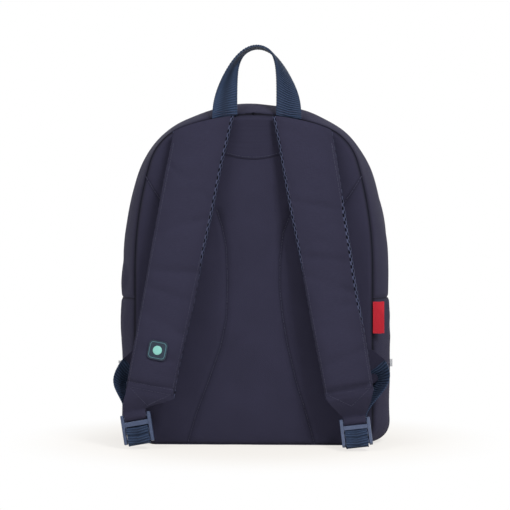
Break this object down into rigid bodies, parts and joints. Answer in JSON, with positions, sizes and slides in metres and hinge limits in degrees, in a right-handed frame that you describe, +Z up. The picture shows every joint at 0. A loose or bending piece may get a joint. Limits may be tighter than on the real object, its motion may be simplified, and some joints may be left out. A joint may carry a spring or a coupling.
{
  "type": "school backpack",
  "caption": "Upright school backpack with arched zip lid, zipped front pocket, padded shoulder straps with ladder locks, and a webbing grab handle.",
  "frame": {"origin": "middle of the base, on the floor", "axes": "+Z up, -Y towards the wearer's back and the shoulder straps, +X to the right as seen from the strap side"},
  "size_m": [0.3292, 0.218, 0.4689],
  "materials": {
    "bag_cloth": "matte",
    "air_mesh": "matte",
    "foam": "matte",
    "webbing": "matte",
    "zip_tape": "matte",
    "zip_metal": "satin",
    "lock_plastic": "satin",
    "binding": "matte",
    "stiffener_board": "matte",
    "lining": "matte",
    "label": "satin",
    "badge": "satin",
    "reflective": "satin"
  },
  "bodies": {
    "bag": {"adjuster_run_left": "webbing", "adjuster_run_right": "webbing", "anchor_tab_left": "bag_cloth", "anchor_tab_right": "bag_cloth", "back_foam": "foam", "back_lining": "lining", "back_panel": "bag_cloth", "back_yoke": "bag_cloth", "base_panel": "bag_cloth", "base_stiffener": "stiffener_board", "front_panel_lower": "bag_cloth", "gusset_rear": "bag_cloth", "pocket_face": "bag_cloth", "pocket_gusset": "bag_cloth", "pocket_zip_tapes": "zip_tape", "reflector_left": "reflective", "reflector_right": "reflective", "seam_binding_back": "binding", "seam_binding_front_lower": "binding", "seam_label": "label", "side_panel_left": "bag_cloth", "side_panel_right": "bag_cloth", "zip_tape_rear": "zip_tape"},
    "lid": {"front_panel_upper": "bag_cloth", "gusset_front": "bag_cloth", "seam_binding_front_upper": "binding", "zip_tape_front": "zip_tape"},
    "zip_slider_left": {"zip_slider_left": "zip_metal"},
    "zip_slider_right": {"zip_slider_right": "zip_metal"},
    "zip_pull_left": {"zip_pull_left": "zip_metal"},
    "zip_pull_right": {"zip_pull_right": "zip_metal"},
    "pocket_slider": {"pocket_slider": "zip_metal"},
    "pocket_pull": {"pocket_pull": "zip_metal"},
    "strap_left": {"strap_badge": "badge", "strap_cover_left": "bag_cloth", "strap_foam_left": "foam", "strap_mesh_left": "air_mesh", "strap_tab_left": "bag_cloth"},
    "strap_right": {"strap_cover_right": "bag_cloth", "strap_foam_right": "foam", "strap_mesh_right": "air_mesh", "strap_tab_right": "bag_cloth"},
    "lock_left": {"ladder_lock_left": "lock_plastic", "lock_webbing_left": "webbing"},
    "lock_right": {"ladder_lock_right": "lock_plastic", "lock_webbing_right": "webbing"},
    "handle": {"grab_handle": "webbing"}
  },
  "joints": [
    {"name": "lid_open", "type": "hinge", "parent": "bag", "child": "lid", "pos_m": [0, 0.0641, 0.172], "axis": [-1, 0, 0], "range_deg": [0, 60]},
    {"name": "zip_run_left", "type": "hinge", "parent": "bag", "child": "zip_slider_left", "pos_m": [0, 0.02, 0.24], "axis": [0, -1, 0], "range_deg": [0, 102.8]},
    {"name": "zip_pull_swing_left", "type": "hinge", "parent": "zip_slider_left", "child": "zip_pull_left", "pos_m": [-0.00904, 0.02, 0.4017], "axis": [0, 1, 0], "range_deg": [0, 85]},
    {"name": "zip_run_right", "type": "hinge", "parent": "bag", "child": "zip_slider_right", "pos_m": [0, 0.02, 0.24], "axis": [0, 1, 0], "range_deg": [0, 102.8]},
    {"name": "zip_pull_swing_right", "type": "hinge", "parent": "zip_slider_right", "child": "zip_pull_right", "pos_m": [0.00904, 0.02, 0.4017], "axis": [0, -1, 0], "range_deg": [0, 85]},
    {"name": "pocket_zip_run", "type": "slide", "parent": "bag", "child": "pocket_slider", "axis": [-1, 0, 0], "range_m": [0, 0.126]},
    {"name": "pocket_pull_swing", "type": "hinge", "parent": "pocket_slider", "child": "pocket_pull", "pos_m": [0.063, 0.0816, 0.14995], "axis": [0, 1, 0], "range_deg": [0, 85]},
    {"name": "strap_swing_left", "type": "hinge", "parent": "bag", "child": "strap_left", "pos_m": [-0.056, -0.0656, 0.3865], "axis": [-1, 0, 0], "range_deg": [0, 25], "deforming": ["adjuster_run_left"]},
    {"name": "lock_swing_left", "type": "hinge", "parent": "strap_left", "child": "lock_left", "pos_m": [-0.134, -0.101, 0.036], "axis": [-0.9848, 0, -0.1736], "range_deg": [0, 40]},
    {"name": "strap_swing_right", "type": "hinge", "parent": "bag", "child": "strap_right", "pos_m": [0.056, -0.0656, 0.3865], "axis": [-1, 0, 0], "range_deg": [0, 25], "deforming": ["adjuster_run_right"]},
    {"name": "lock_swing_right", "type": "hinge", "parent": "strap_right", "child": "lock_right", "pos_m": [0.118, -0.099, 0.031], "axis": [-0.9936, 0, -0.1132], "range_deg": [0, 40]},
    {"name": "handle_fold", "type": "hinge", "parent": "bag", "child": "handle", "pos_m": [0, -0.0653, 0.381], "axis": [1, 0, 0], "range_deg": [0, 40], "stiffness_Nm_per_rad": 0.02}
  ],
  "couplings": [
    {"joint": "zip_run_left", "follows": "lid_open", "ratio": 1.7133},
    {"joint": "zip_run_right", "follows": "lid_open", "ratio": 1.7133}
  ]
}
